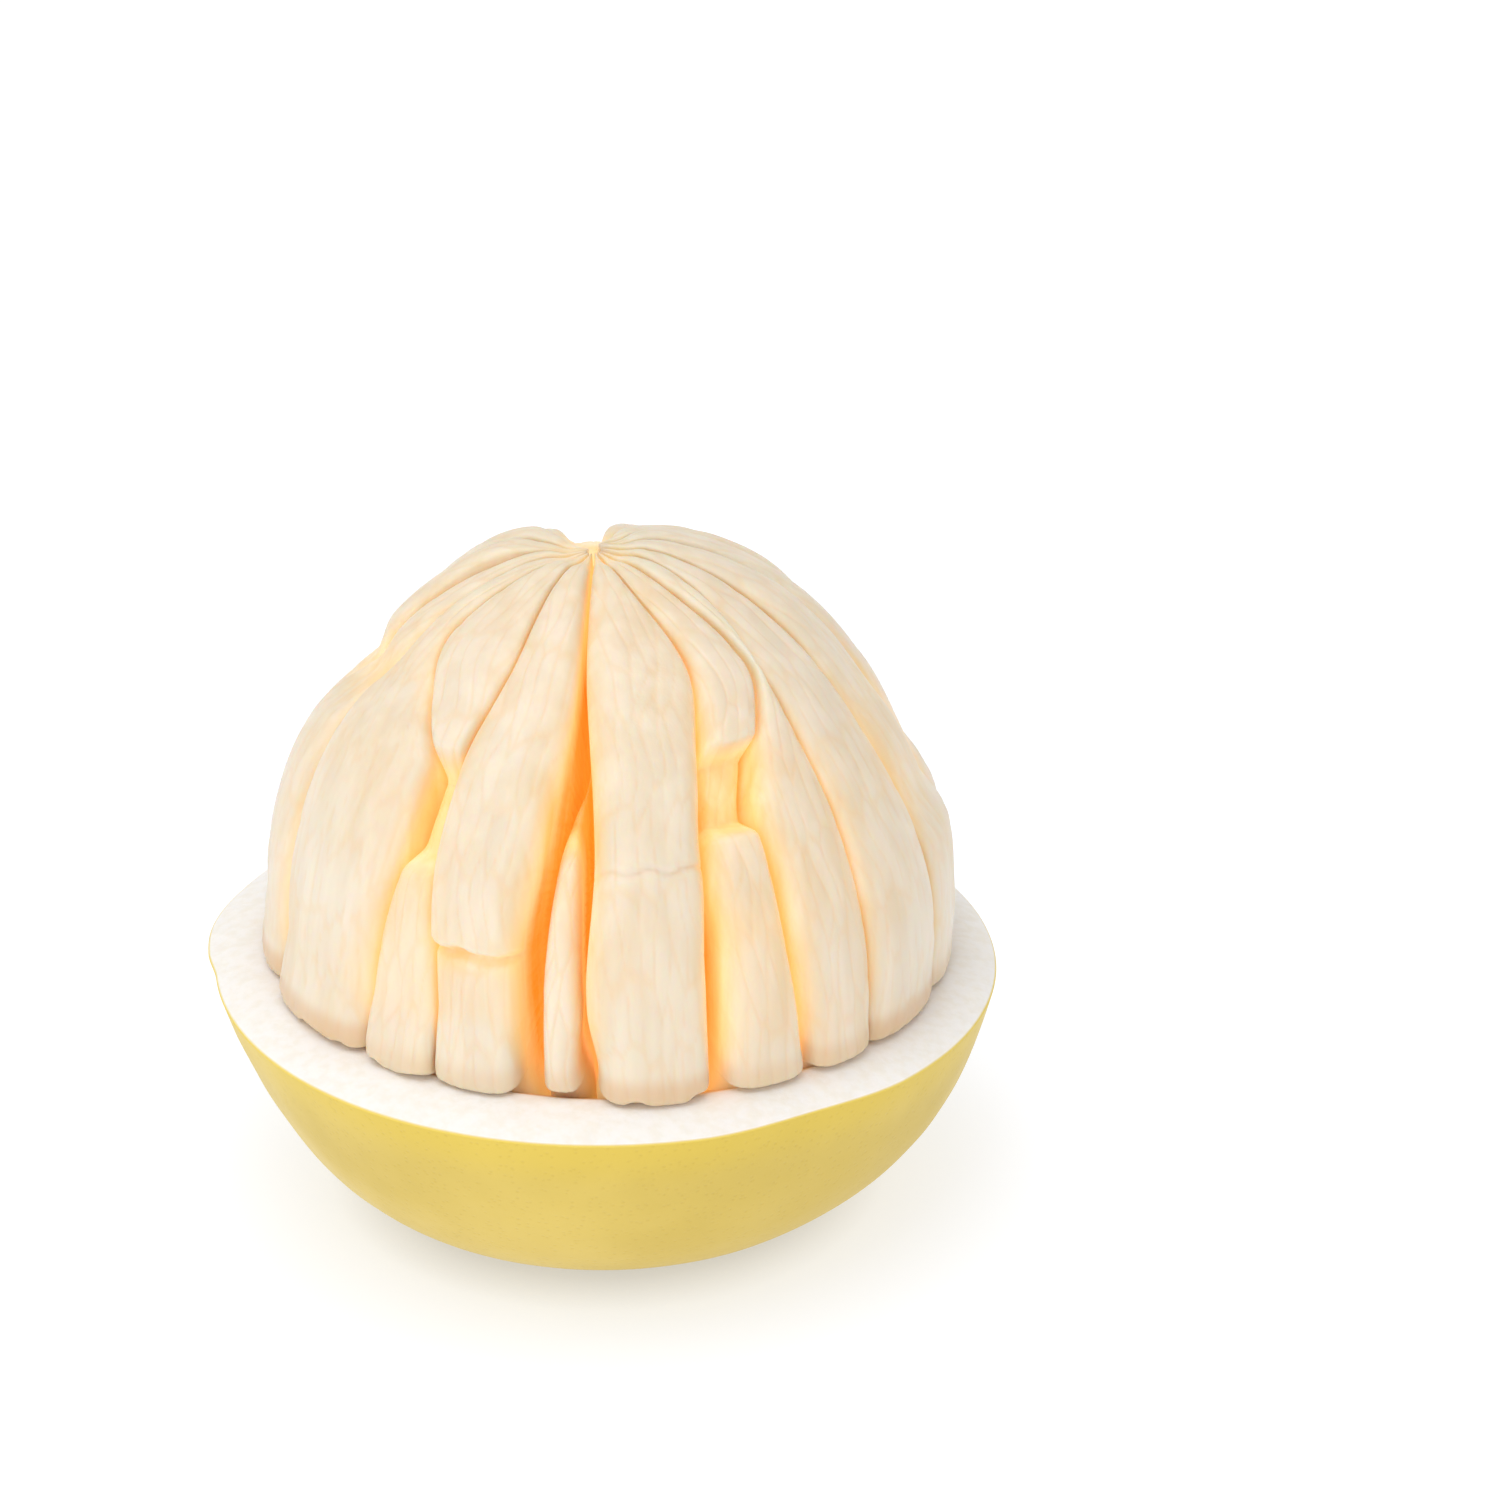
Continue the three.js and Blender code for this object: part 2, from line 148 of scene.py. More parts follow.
# ---- Tones of the flesh, with painted shade in its gaps, in its creases and at its feet ----
DEEP_AT = 14.0  # depth under the outline where the painted gap shade is fully orange
PALER_BY = {
    # polar angles between which a back gets less painted gap shade and glow than its depth gives it,
    # and by how many millimetres of depth; a negative value gives it more
    "segment_d": (79.5, 83.0, 1.0),
    "segment_e": (48.0, 62.0, 9.0),
    "segment_g": (66.0, 76.0, -0.8),
}
# Painted shade at the segments' feet, where they overhang the pith, as a share for each segment
FOOT_SHADE = {"segment_a": 1.0, "segment_b": 0.9, "segment_f": 0.8, "segment_h": 0.6, "segment_i": 0.9}
OTHER_FOOT_SHADE = 0.5
FOOT_SHADE_FROM = (95.5, 99.5)  # polar angles between which the painted shade comes up on a foot

# ---- Seeds, added to SEED, so that each noise differs ----
SEED_STEP = 31  # from one segment to the next
LUMP_SEED = 5
SWAY_SEED = 9
RAGGED_SEED = 20
WALL_SEED = 50  # of the left side; the right side's is one more
WALL_SWAY_SEED = 3

# Seams between neighbouring segments, as in the CAD part but for the gap of gh. line is
# [polar angle, azimuth], gap and depth are [polar angle, millimetres]: how far apart the neighbours
# are, and how far their edges sink.
SHALLOW = [[4, 1], [30, 2], [60, 2.6], [100, 3]]
MEDIUM = [[4, 1], [30, 2.2], [55, 5], [100, 5]]
DEEP = [[4, 1], [30, 3], [50, 8], [100, 8]]
DEEP_FROM_TOP = [[4, 3.5], [14, 4.5], [30, 4.5], [50, 8], [100, 8]]
EVEN_GAP = [[0, SEGMENT_GAP], [180, SEGMENT_GAP]]
SEAMS = {
    "ab": {"line": [[4, -78], [45, -74], [90, -70]], "depth": MEDIUM},
    "bc": {"line": [[4, -58], [26, -62], [40, -47], [50, -38], [98, -42.5]], "depth": MEDIUM},
    "cd": {"line": [[4, -30], [27, -27], [48, -31], [62, -31], [90, -28.3]], "depth": SHALLOW},
    "de": {
        "line": [[4, -3], [22, -3.5], [40, -5.5], [60, -9.5], [85, -12], [105, -12]],
        "gap": [[30, 0.5], [60, 1.6], [80, 3.6], [103, 3.4], [115, 0.5]],
        "depth": DEEP_FROM_TOP,
    },
    "ef": {
        "line": [[4, -3], [22, -2.7], [40, -1.6], [60, -1.4], [85, -2.8], [105, -2]],
        "gap": [[30, 0.5], [60, 2.4], [88, 1], [98, 3.2], [108, 0.5]],
        "depth": DEEP_FROM_TOP,
    },
    "fg": {
        "line": [[4, 24], [29, 32.5], [46, 26], [62, 21.3], [85, 19.8], [105, 19.3]],
        "gap": [[66, 0.5], [82, 2.4], [103, 2.4], [110, 0.5]],
        "depth": DEEP,
    },
    "gh": {
        "line": [[4, 47], [33, 51], [48, 39.5], [60, 34.2], [80, 34.2], [103, 36]],
        "gap": [[60, 0.5], [70, 1.5], [98, 1.5], [106, 0.5]],
        "depth": MEDIUM,
    },
    "hi": {"line": [[4, 66], [40, 52], [65, 51], [100, 49.5]], "depth": SHALLOW},
    "ij": {"line": [[4, 84], [50, 73], [100, 72]], "depth": SHALLOW},
    "jk": {"line": [[4, 108], [60, 96], [100, 95]], "depth": MEDIUM},
}
BACK_SEAMS = ["kl", "lm", "mn", "no", "op", "pq", "qa"]
BACK_START = 95.0
BACK_END = 265.0
BACK_START_AT_CORE = 108.0
BACK_SEAM_SWAY = 2.5
BACK_SWAY_STEP = 2.3  # radians of the sway from one seam to the next
BACK_DEPTH = [[4, 1], [30, 2.4], [60, 5.5], [100, 5]]
CLEFT = "mn"
CLEFT_DEPTH = [[4, 3.5], [14, 4.5], [40, 4.5], [100, 5]]

# Segments, as in the CAD part: the seams at their left and right, and the back as
# [polar angle, rise] of the outline between the edges.
BACK_A = [[28, 0], [35, -0.8], [41, -2.6], [46, -1.6], [53, 0.6], [60, 1], [90, 0]]
BACK_B = [[20, 0], [35, -0.8], [52, 1.6], [90, 0], [101.4, 1], [102.4, 0]]
BACK_C = [[44, 0], [50, -6], [61, -6], [67, -1.6], [90, -1], [101.4, 0.8], [102.4, 0]]
BACK_D = [[76.5, 0], [78, -3.6], [79.5, -1.8], [90, -1.2], [101.4, 0.2], [102.4, 0]]
BACK_E = [[35, -26], [53, -15], [62, -9], [76, -5], [101, -2.5]]
BACK_F = [[35, 0], [62, 0.4], [90, 0.4], [101.4, 0.9], [102.4, 0]]
BACK_G = [[46, 0], [48.5, -7], [58.5, -8], [62, -1.6], [72, -0.2]]
BACK_H = [[35, 0], [52, -0.8], [88, 0]]
BACK_I = [[35, 0.4], [60, -0.4], [88, 0.3], [102.4, 0]]
BACK_J = [[30, 0.9], [40, 0.6], [54, -1], [70, -1.2], [80, 1.4], [90, 0.8], [103, 0]]
BACK_K = [[14, 0.8], [28, 1.4], [40, 1.4], [51, 0.2], [70, -1.6], [80, 0.6], [103, 0]]
BACK_L = [[14, 0.8], [24, 1.6], [36, 2.4], [50, 0.6], [64, -0.6], [80, 0.5], [103, 0]]
BACK_M = [[4, -1], [12, 0], [20, 0.2], [45, 0.6], [80, -0.5], [103, 0]]
BACK_N = [[4, -4], [20, -3], [45, -0.4], [80, 0.8], [103, 0]]
BACK_O = [[6, -2.4], [14, -1.8], [24, 0.8], [40, 0.8], [80, -0.6], [103, 0]]
BACK_P = [[6, 0], [14, 1.9], [22, 2.2], [36, 0.4], [48, -2.4], [58, -1], [70, 0]]
BACK_Q = [[6, 0], [16, 2.2], [30, 1.2], [38, 0.4], [46, -2.4], [54, -1.4], [66, 0.4], [103, 0]]
SEGMENTS = {
    "segment_a": ("qa", "ab", BACK_A),
    "segment_b": ("ab", "bc", BACK_B),
    "segment_c": ("bc", "cd", BACK_C),
    "segment_d": ("cd", "de", BACK_D),
    "segment_e": ("de", "ef", BACK_E),
    "segment_f": ("ef", "fg", BACK_F),
    "segment_g": ("fg", "gh", BACK_G),
    "segment_h": ("gh", "hi", BACK_H),
    "segment_i": ("hi", "ij", BACK_I),
    "segment_j": ("ij", "jk", BACK_J),
    "segment_k": ("jk", "kl", BACK_K),
    "segment_l": ("kl", "lm", BACK_L),
    "segment_m": ("lm", "mn", BACK_M),
    "segment_n": ("mn", "no", BACK_N),
    "segment_o": ("no", "op", BACK_O),
    "segment_p": ("op", "pq", BACK_P),
    "segment_q": ("pq", "qa", BACK_Q),
}
SPANS = {"segment_e": (35.0, 150.0)}  # polar angles of the one that reaches neither end of the core

# ---- Colours, as they look on screen, from 0 to 255 ----
# Cream flesh that turns darker and orange with depth: painted shade in the gaps between segments
FLESH_WITH_PAINTED_GAP_SHADE = [
    # (depth as a share of DEEP_AT, colour)
    (0.0, (235, 221, 197)),
    (0.06, (236, 214, 177)),
    (0.16, (236, 204, 148)),
    (0.38, (228, 186, 110)),
    (0.62, (228, 179, 100)),
    (0.92, (224, 148, 44)),
]
FLESH_CLOUD = (236, 211, 172)
FLESH_STREAK = (249, 238, 219)
FLESH_PALE_SAC = (250, 236, 214)
# painted shade in the creases between sacs
FLESH_CREASE_SHADE = (240, 200, 140)
# painted shade at the feet of the segments
FLESH_FOOT_SHADE = (220, 174, 126)
SKIN_LIGHT = (225, 196, 88)
SKIN_DARK = (214, 185, 78)
SKIN_UNDER_EDGE = (236, 204, 62)
SKIN_GLAND = (196, 160, 48)
PITH_LIGHT = (253, 250, 246)
PITH_DARK = (249, 244, 236)
# painted peach shade on the pith beside the flesh
PITH_SHADE_BY_FLESH = (238, 202, 150)
PITH_BY_SKIN = (238, 208, 96)

NOISE_ROUGHNESS = 0.55  # of every noise in the materials

# ---- Studio ----
FLOOR_COLOUR = (0.42, 0.44, 0.5, 1.0)
FLOOR_HALF = 6000.0
# The floor's own light, which keeps it white, dips near the fruit into a painted shadow
# (metres from the middle, strength)
FLOOR_GLOW_AND_PAINTED_SHADOW = [(0.041, 0.43), (0.054, 0.64), (0.085, 0.68), (0.6, 0.78)]
WHITE = (1.0, 1.0, 1.0, 1.0)
WORLD_STRENGTH = 0.61
LIGHTS = [
    # (name, place, side, power)
    ("overhead_softbox", (-0.2, -0.25, 1.3), 1.0, 6.2),
    ("front_fill", (-0.6, -1.4, 0.45), 1.0, 4.0),
]
LIGHT_AIM = (0, 0, 0.06)

# ---- Camera ----
CAMERA_DISTANCE = 850.0
CAMERA_ELEVATION = 25.0
CAMERA_TARGET = np.array([27.9, 0.0, 90.05])
CAMERA_LENS = 107.9
SENSOR_WIDTH = 36.0
CLIP_START = 0.01
CLIP_END = 50.0


# ------------------------------------------------------------------ numbers
def follow(points, t):
    """Values at t of a smooth line through [position, value] points, level beyond its ends."""
    at, value = np.array(points, float).T
    rate = np.diff(value) / np.diff(at)
    before = rate[:-1]
    after = rate[1:]
    one_way = before * after > 0
    slope = np.zeros(len(at))
    slope[1:-1][one_way] = (2 * before * after)[one_way] / (before + after)[one_way]
    t = np.clip(t, at[0], at[-1])
    k = np.clip(np.searchsorted(at, t, side="right") - 1, 0, len(at) - 2)
    span = at[k + 1] - at[k]
    u = (t - at[k]) / span
    ease = u * u * (3 - 2 * u)
    bend = span * u * (1 - u) * ((1 - u) * slope[k] - u * slope[k + 1])
    return value[k] + (value[k + 1] - value[k]) * ease + bend


def smoothstep(low, high, t):
    """From 0 where t is low to 1 where it is high, with a smooth start and end."""
    u = np.clip((t - low) / (high - low), 0, 1)
    return u * u * (3 - 2 * u)


def scatter(x, y, seed):
    """A number from 0 to 1 for each pair of whole numbers, the same on every run."""
    # The large odd numbers only mix the bits.
    mixed = (x * 73856093) ^ (y * 19349663) ^ (seed * 83492791)
    mixed = (mixed ^ (mixed >> 13)) * 1274126177
    mixed = mixed ^ (mixed >> 16)
    return (mixed & 0xFFFFF) / float(0xFFFFF)


def value_noise(x, y, seed):
    """Smooth noise from -1 to 1, with one lump for each whole step of x and y."""
    xi = np.floor(x).astype(np.int64)
    yi = np.floor(y).astype(np.int64)
    u = smoothstep(0, 1, x - xi)
    v = smoothstep(0, 1, y - yi)
    low = scatter(xi, yi, seed) * (1 - u) + scatter(xi + 1, yi, seed) * u
    high = scatter(xi, yi + 1, seed) * (1 - u) + scatter(xi + 1, yi + 1, seed) * u
    return 2 * (low * (1 - v) + high * v) - 1


def cells(x, y, seed):
    """Scattered cells, one for each whole step: distance to the nearest centre, how much further
    the next one is, and a number from 0 to 1 that belongs to the cell."""
    margin = 0.15  # of a cell, that its centre keeps from its edges
    free = 0.7
    far = 9.0
    xi = np.floor(x).astype(np.int64)
    yi = np.floor(y).astype(np.int64)
    nearest = np.full(x.shape, far)
    second = np.full(x.shape, far)
    owner = np.zeros(x.shape)
    for dx in (-1, 0, 1):
        for dy in (-1, 0, 1):
            cx = xi + dx
            cy = yi + dy
            px = cx + margin + free * scatter(cx, cy, seed)
            py = cy + margin + free * scatter(cx, cy, seed + 1)
            away = np.hypot(x - px, y - py)
            closer = away < nearest
            second = np.where(closer, nearest, np.minimum(second, away))
            owner = np.where(closer, scatter(cx, cy, seed + 2), owner)
            nearest = np.where(closer, away, nearest)
    return nearest, second - nearest, owner


# ------------------------------------------------------------------ flesh outline
def directions(polar, azimuth):
    """Unit directions from the middle of the flesh, for angles measured about the leaning core."""
    p = np.radians(polar)
    a = np.radians(azimuth)
    lean = math.atan(CORE_LEAN)
    x = np.sin(p) * np.sin(a)
    y = -np.sin(p) * np.cos(a)
    z = np.cos(p) + 0 * a
    leaned_x = x * math.cos(lean) + z * math.sin(lean)
    leaned_z = z * math.cos(lean) - x * math.sin(lean)
    return np.stack([leaned_x, y, leaned_z], -1)


def slanted(polar, azimuth):
    """Polar angle of a cross-section at an azimuth: near the rind they are lower towards +X."""
    return polar + follow(FOOT_SLANT, polar) * np.sin(np.radians(azimuth))


def outline_reach(dirs):
    """Distance from the middle of the flesh to its smooth outline."""
    flat = np.hypot(dirs[..., 0], dirs[..., 1]) / FLESH_RADIUS
    upper = dirs[..., 2] >= 0
    upright = np.abs(dirs[..., 2]) / np.where(upper, FLESH_RISE, FLESH_DEPTH)
    power = np.where(upper, RISE_POWER, DEPTH_POWER)
    return (flat**power + upright**power) ** (-1 / power)


def edge_fall(u):
    """How far a back has sunk at u, from 0 in its middle to 1 at its edges, where u is -1 and 1."""
    return 1 - (1 - np.abs(u) ** EDGE_POWER) ** (1 / EDGE_POWER)


def even_back_steps():
    """Shares across a segment's back, from -1 to 1, evenly spaced along its curved section."""
    typical_half_width = 10.0
    typical_depth = 5.0
    fine_steps = 2000
    fine = np.linspace(0, 1, fine_steps + 1) ** 0.5
    lengths = np.hypot(np.diff(fine * typical_half_width), np.diff(edge_fall(fine) * typical_depth))
    travelled = np.concatenate([[0], np.cumsum(lengths)])
    half = np.interp(np.linspace(0, travelled[-1], HALF_BACK_STEPS + 1), travelled, fine)
    return np.concatenate([-half[:0:-1], half])


def add_back_seams():
    """Seams that share out the back evenly, apart from a small sway."""
    for index, name in enumerate(BACK_SEAMS):
        share = (index + 1) / len(BACK_SEAMS)
        sway = BACK_SEAM_SWAY * math.sin(BACK_SWAY_STEP * (index + 1)) if share < 1 else 0.0
        azimuth = BACK_START + (BACK_END - BACK_START) * share + sway
        at_core = BACK_START_AT_CORE + (BACK_END - BACK_START_AT_CORE) * share
        depth = CLEFT_DEPTH if name == CLEFT else BACK_DEPTH
        SEAMS[name] = {"line": [[4, at_core], [60, azimuth]], "depth": depth}


# ------------------------------------------------------------------ meshes
def make_mesh(name, points, faces, attributes):
    """A smooth mesh object from millimetre points and faces of three or four corners."""
    mesh = bpy.data.meshes.new(name)
    quads, triangles = faces
    mesh.vertices.add(len(points))
    mesh.vertices.foreach_set("co", (points * METRES).astype(np.float32).ravel())
    corners = np.concatenate([quads.ravel(), triangles.ravel()])
    mesh.loops.add(len(corners))
    mesh.loops.foreach_set("vertex_index", corners.astype(np.int32))
    starts = np.concatenate([np.arange(len(quads)) * 4, quads.size + np.arange(len(triangles)) * 3])
    mesh.polygons.add(len(starts))
    mesh.polygons.foreach_set("loop_start", starts.astype(np.int32))
    mesh.update(calc_edges=True)
    mesh.validate()
    mesh.polygons.foreach_set("use_smooth", np.ones(len(mesh.polygons), bool))
    for key, values in attributes.items():
        layer = mesh.attributes.new(key, "FLOAT", "POINT")
        layer.data.foreach_set("value", values.astype(np.float32).ravel())
    obj = bpy.data.objects.new(name, mesh)
    bpy.context.scene.collection.objects.link(obj)
    return obj


def tube_faces(rows, count):
    """Quads over a stack of closed rows of points, first row at the top, seen from outside."""
    row, column = np.meshgrid(np.arange(rows - 1), np.arange(count), indexing="ij")
    following = (column + 1) % count
    a = row * count + column
    d = row * count + following
    return np.stack([a, a + count, d + count, d], -1).reshape(-1, 4)


def closed_tube_faces(rows, count):
    """Faces over such a stack, closed by a fan at its first row and one at its last."""
    fan = np.arange(1, count - 1)
    lowest = (rows - 1) * count
    top = np.stack([0 * fan, fan, fan + 1], -1)
    bottom = np.stack([0 * fan + lowest, lowest + fan + 1, lowest + fan], -1)
    return tube_faces(rows, count), np.concatenate([top, bottom])


def station_angles(first, last):
    """Polar angles of a segment's cross-sections, closest together at its foot."""
    seen = np.linspace(first, FOOT_FROM, VISIBLE_STATIONS)
    foot = np.linspace(FOOT_FROM, HIDDEN_FROM, FOOT_STATIONS + 1)[1:]
    unseen = np.linspace(HIDDEN_FROM, last, HIDDEN_STATIONS + 1)[1:]
    return np.concatenate([seen, foot, unseen])


def seam_values(name, polar):
    """Azimuth, gap and depth of a seam at each polar angle."""
    seam = SEAMS[name]
    line = follow(seam["line"], polar)
    gap = follow(seam.get("gap", EVEN_GAP), polar)
    depth = follow(seam["depth"], polar)
    return line, gap, depth


def crease_at(between):
    """1 where two sacs meet and 0 away from there."""
    return np.exp(-((between / CREASE_SHARE) ** 2))


def back_relief(along, across, seed):
    """Rise of the juice sacs on a segment's back, with how creased it is and each sac's own number."""
    amount, lump_along, lump_across = SAC_SWAY
    sway = amount * value_noise(along / lump_along, across / lump_across, seed + SWAY_SEED)
    x = across / SAC_WIDTH + sway
    y = along / SAC_LENGTH + SWAY_ALONG * sway
    nearest, between, owner = cells(x, y, seed)
    crease = crease_at(between)
    swell = SAC_SWELL * (0.5 - np.clip(nearest, 0, 1) ** 2) + SAC_STEP * (owner - 0.5)
    lumps = LUMP_RISE * value_noise(along / LUMP_SIZE, across / LUMP_SIZE, seed + LUMP_SEED)
    none_from, all_until = LUMPS_UNTIL
    lumps *= smoothstep(FLESH_RADIUS * none_from, FLESH_RADIUS * all_until, along)
    return swell - SAC_CREASE * crease + lumps, crease, owner


def back_edges(node, polar, rise):
    """For each cross-section, azimuths of the seams at a segment's left and right, azimuths of its
    back's two edges, and how far those edges sink."""
    left_name, right_name, _ = SEGMENTS[node]
    left_line, left_gap, left_depth = seam_values(left_name, polar)
    right_line, right_gap, right_depth = seam_values(right_name, polar)
    left_line = np.where(left_line > right_line, left_line - 360, left_line)
    sine = np.sin(np.radians(polar))

    def half_gap(line, gap, depth):
        # The angle that half the gap takes about the core.
        from_core = (outline_reach(directions(slanted(polar, line), line)) + rise - depth) * sine
        return np.degrees(np.arcsin(gap / 2 / from_core))

    most = LEAST_WIDTH * (right_line - left_line)
    low = left_line + np.minimum(half_gap(left_line, left_gap, left_depth), most)
    high = right_line - np.minimum(half_gap(right_line, right_gap, right_depth), most)
    return (left_line, right_line), (low, high), (left_depth, right_depth)


def crack_depth(node, polar, wander):
    """How far a hairline crack lowers a segment's back."""
    place, sunk = CRACKS[node]
    return sunk * np.exp(-(((polar + CRACK_WANDER * wander - place) / CRACK_WIDTH) ** 2))


def make_back(node, polar, seed):
    """Points over a segment's back for each cross-section, with how creased they are and their
    sacs' numbers, and the azimuths of the seams at its left and right."""
    back = SEGMENTS[node][2]
    shared_rise = follow(POLE_DIMPLE, polar) + follow(FOOT_RISE, polar)
    seams, edges, depths = back_edges(node, polar, follow(back, polar) + shared_rise)
    low, high = edges
    low_depth, high_depth = depths
    middle = (seams[0] + seams[1]) / 2
    u = even_back_steps()[None, :]
    half = np.where(u < 0, (middle - low)[:, None], (high - middle)[:, None])
    azimuth = middle[:, None] + u * half
    depth = np.where(u < 0, low_depth[:, None], high_depth[:, None])

    level = polar[:, None]
    dirs = directions(slanted(level, azimuth), azimuth)
    outline = outline_reach(dirs)
    along = np.radians(level) * FLESH_RADIUS + 0 * azimuth
    across = np.radians(azimuth - middle[:, None]) * outline * np.sin(np.radians(level))
    wander = RAGGED * value_noise(across / RAGGED_SIZE, along / RAGGED_LENGTH, seed + RAGGED_SEED)
    rise = follow(back, level + wander) + shared_rise[:, None]
    if node in CRACKS:
        rise -= crack_depth(node, level, wander)
    relief, crease, owner = back_relief(along, across, seed)
    shown = smoothstep(*SHOWN_UNTIL, level)
    near_edge = 1 - EDGE_CALM * smoothstep(EDGE_FROM, 1.0, np.abs(u))
    begun = smoothstep(polar[0], polar[0] + RELIEF_BEGINS, level)
    reach = outline + rise - depth * edge_fall(u) + relief * shown * near_edge * begun
    return FLESH_CENTRE + dirs * reach[..., None], crease * shown, owner, seams


def make_tips(polar, seams):
    """The inner edge of a segment, one point for each cross-section."""
    left_line, right_line = seams
    middle = (left_line + right_line) / 2
    from_core = np.maximum(CORE_RADIUS, TIP_MARGIN / np.radians(right_line - left_line))
    from_core = from_core * follow(TIPS_MEET, polar)
    down_cone = (from_core / np.sin(np.radians(polar)))[:, None]
    return FLESH_CENTRE + directions(slanted(polar, middle), middle) * down_cone


def make_wall(tips, edge, along, turn, seed):
    """One side of a segment, from just off the inner tip to just off the back's edge, with its
    sacs lying towards the core. They only sink into the segment, so neighbours stay apart."""
    share = (1 - (1 - np.arange(1, WALL_STEPS + 1) / (WALL_STEPS + 1)) ** WALL_CROWDING)[None, :]
    flat = tips[:, None] + (edge - tips)[:, None] * share[..., None]
    inward_reach = (1 - share) * np.linalg.norm(edge - tips, axis=-1)[:, None]
    rows = along + 0 * share
    amount, lump_inward, lump_along = WALL_SWAY
    sway = amount * value_noise(inward_reach / lump_inward, rows / lump_along, seed + WALL_SWAY_SEED)
    x = rows / WALL_SAC_WIDTH + sway
    y = inward_reach / WALL_SAC_LENGTH
    _, between, owner = cells(x, y, seed)
    crease = crease_at(between)
    down = np.gradient(flat, axis=0)
    out = np.gradient(flat, axis=1)
    normal = np.cross(down, out)
    normal /= np.linalg.norm(normal, axis=-1, keepdims=True) + 1e-9
    sunk = (WALL_CREASE * crease + WALL_STEP * owner) * np.sin(np.pi * share) ** 0.5
    return flat + turn * normal * sunk[..., None], crease, owner


def depth_under_outline(points):
    """How far points lie under the smooth outline of all the flesh, in millimetres."""
    offset = points - FLESH_CENTRE
    distance = np.linalg.norm(offset, axis=-1)
    return outline_reach(offset / distance[..., None]) - distance


def make_segment(node, index):
    """The fine mesh of one segment: cross-sections on cones about the core, each from the inner
    tip over the left side, the back and the right side."""
    polar = station_angles(*SPANS.get(node, (FIRST_STATION, LOWEST_STATION)))
    level = polar[:, None]
    seed = SEED + SEED_STEP * index
    back, crease, owner, seams = make_back(node, polar, seed)
    tips = make_tips(polar, seams)
    along = np.radians(level) * FLESH_RADIUS
    left = make_wall(tips, back[:, 0], along, -1, seed + WALL_SEED)
    right = make_wall(tips, back[:, -1], along, 1, seed + WALL_SEED + 1)
    right = [part[:, ::-1] for part in right]
    nothing = 0 * level
    tip = (tips[:, None], nothing, nothing + 0.5)
    stretches = zip(tip, left, (back, crease, owner), right)
    loops, creases, owners = [np.concatenate(parts, 1) for parts in stretches]

    # Depth under the outline sets the painted shade and the painted glow in the gaps
    under = depth_under_outline(loops)
    if node in PALER_BY:
        start, end, paler = PALER_BY[node]
        under -= paler * smoothstep(start, end, level)
    # painted shade at a foot, where it overhangs the pith
    foot = FOOT_SHADE.get(node, OTHER_FOOT_SHADE) * smoothstep(*FOOT_SHADE_FROM, level) + 0 * under
    attributes = {"deep": under / DEEP_AT, "crease": creases, "owner": owners, "foot": foot}
    faces = closed_tube_faces(len(polar), loops.shape[1])
    return make_mesh(f"{node}_flesh", loops.reshape(-1, 3), faces, attributes)


# ------------------------------------------------------------------ rind
def skin_profile():
    """Radii and heights of the skin's rows, from the flat spot up to the rim."""
    share = np.sin(np.linspace(0, 1, SKIN_ROWS) * math.pi / 2) ** SKIN_CROWDING
    radius = FLAT_SPOT_RADIUS + (RIM_RADIUS - FLAT_SPOT_RADIUS) * share
    return radius, RIM_HEIGHT * share**BOWL_POWER


def ring_profile():
    """Shares of the way from the skin to the flesh, and heights, over the cut ring."""
    share = np.linspace(0, 1, RING_ROWS + 1)[1:] ** RING_CROWDING
    inward = RING_WIDTH * share
    rounding = np.sqrt(1 - (1 - np.clip(inward / SKIN_ROUNDING, 0, 1)) ** 2) * (1 - share)
    crown = RING_CROWN * np.sin(math.pi * share)
    return share, RIM_HEIGHT + RING_RISE * share + crown + SKIN_ROUNDING * rounding


def cavity_heights():
    """Heights of the cup's rows, from its brink down to near its bottom."""
    reach = FLESH_DEPTH + CAVITY_CLEARANCE
    brink = math.asin((FLESH_CENTRE[2] - RIM_HEIGHT - RING_RISE) / reach)
    share = np.linspace(0, 1, CAVITY_ROWS + 1)[1:-1] ** CAVITY_CROWDING
    return FLESH_CENTRE[2] - reach * np.sin(brink + (math.pi / 2 - brink) * share)


def ledge(height):
    """How far the pith reaches in from the cup at a height: most of all halfway down the ledge."""
    down = (RIM_HEIGHT + RING_RISE - height) / LEDGE_DEPTH
    return LEDGE_WIDTH * np.clip(1 - np.abs(2 * down - 1), 0, 1)


def cup_radius(height, clearance):
    """Radius of the cup at a height, which follows the flesh at a small distance."""
    share = (FLESH_CENTRE[2] - height) / (FLESH_DEPTH + clearance)
    return (FLESH_RADIUS + clearance) * np.sqrt(np.clip(1 - share**2, 1e-4, 1))


def leaned(height, x):
    """A height with the lean of the cut edge, which dies out towards the flat spot."""
    return height + RIM_LEAN * x * (height / RIM_HEIGHT) ** SKIN_LEAN_FADE


def rim_shape(azimuth):
    """Stretch of the rim, as a share of its radius, and its bulge, at each azimuth."""
    stretch = 1 + 0 * azimuth
    for waves, share, crest in RIM_WAVES:
        stretch = stretch + share * np.cos(np.radians(waves * (azimuth - crest)))
    bulge = follow(RIM_BULGE, np.where(azimuth > 180, azimuth - 360, azimuth))
    return stretch[None, :], bulge[None, :]


